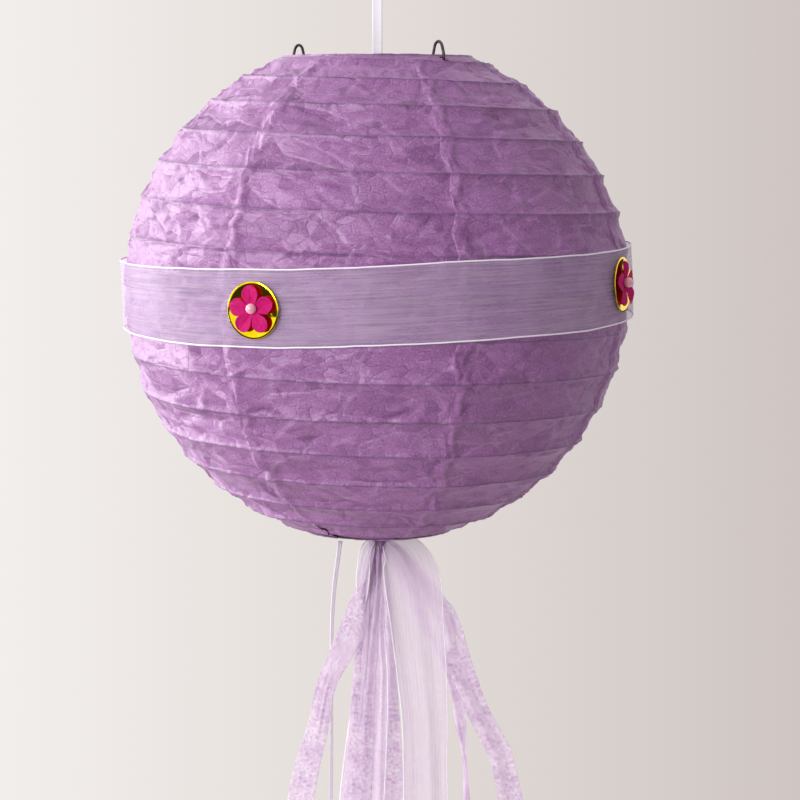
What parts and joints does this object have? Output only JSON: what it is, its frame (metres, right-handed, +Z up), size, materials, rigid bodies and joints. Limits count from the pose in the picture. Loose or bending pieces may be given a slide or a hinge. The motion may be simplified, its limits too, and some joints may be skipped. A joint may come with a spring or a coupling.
{
  "type": "paper lantern",
  "caption": "Hanging round paper lantern: one spiral rib under paper gores, wire expander, sheer ribbon band with flower trims, streamer tail, ribbon loop to hang it.",
  "frame": {"origin": "where a hook bears inside the hanging loop, at the top of the ribbon, on the lantern's vertical axis", "axes": "+Z up along the hanging ribbon, +X to the right seen from the front, +Y to the back"},
  "size_m": [0.3106, 0.3084, 0.7518],
  "materials": {
    "paper": "crinkled mulberry paper, matt, mottled",
    "wire": "dark drawn wire, satin",
    "rib": "split bamboo",
    "organza": "sheer woven organza, slight sheen",
    "edge_cord": "corded satin selvedge",
    "ribbon": "flat satin ribbon",
    "tissue": "thin fibrous tissue, translucent",
    "gold_mirror": "gold mirrored plastic",
    "flower": "magenta mulberry paper, matt",
    "pearl": "pink pearl lustre"
  },
  "bodies": {
    "hanger": {"hanging_loop": "ribbon", "loop_knot": "ribbon", "hanging_ribbon": "ribbon"},
    "tie": {"tie_knot": "ribbon", "tie_loop": "ribbon"},
    "frame": {"expander_wire": "wire", "top_ring": "wire", "rib_spiral": "rib", "paper_gore_1": "paper", "paper_gore_2": "paper", "paper_gore_3": "paper", "paper_gore_4": "paper", "paper_gore_5": "paper", "paper_gore_6": "paper", "paper_gore_7": "paper"},
    "base": {"bottom_ring": "wire"},
    "band": {"organza_band": "organza", "band_edge_top": "edge_cord", "band_edge_bottom": "edge_cord", "gold_disc_1": "gold_mirror", "flower_1": "flower", "pearl_1": "pearl", "gold_disc_2": "gold_mirror", "flower_2": "flower", "pearl_2": "pearl", "gold_disc_3": "gold_mirror", "flower_3": "flower", "pearl_3": "pearl", "gold_disc_4": "gold_mirror", "flower_4": "flower", "pearl_4": "pearl"},
    "tail": {"tail_tie": "tissue", "tail_knot": "tissue", "thin_ribbon_tie": "ribbon", "thin_ribbon": "ribbon", "tissue_streamer_1": "tissue", "tissue_streamer_2": "tissue", "tissue_streamer_3": "tissue", "tissue_streamer_4": "tissue", "tissue_streamer_5": "tissue", "organza_loop": "organza", "organza_streamer_1": "organza", "organza_streamer_2": "organza"}
  },
  "joints": [
    {"name": "ribbon_twist", "type": "hinge", "parent": "hanger", "child": "tie", "pos_m": [0, 0, -0.0845], "axis": [0, 0, 1], "continuous": true},
    {"name": "lantern_swing", "type": "hinge", "parent": "tie", "child": "frame", "pos_m": [0, 0, -0.0845], "axis": [0.7466, -0.6652, 0], "range_deg": [-20, 20]},
    {"name": "collapse", "type": "slide", "parent": "frame", "child": "base", "axis": [0, 0, 1], "range_m": [0, 0.235], "deforming": ["paper_gore_1", "paper_gore_2", "paper_gore_3", "paper_gore_4", "paper_gore_5", "paper_gore_6", "paper_gore_7", "rib_spiral"]},
    {"name": "band_rise", "type": "slide", "parent": "frame", "child": "band", "axis": [0, 0, 1], "range_m": [0, 0.1175]},
    {"name": "tail_swing", "type": "hinge", "parent": "frame", "child": "tail", "pos_m": [0, 0, -0.366], "axis": [0.9838, -0.1735, 0.0454], "range_deg": [-35, 35]}
  ],
  "couplings": [
    {"joint": "band_rise", "follows": "collapse", "ratio": 0.5}
  ]
}
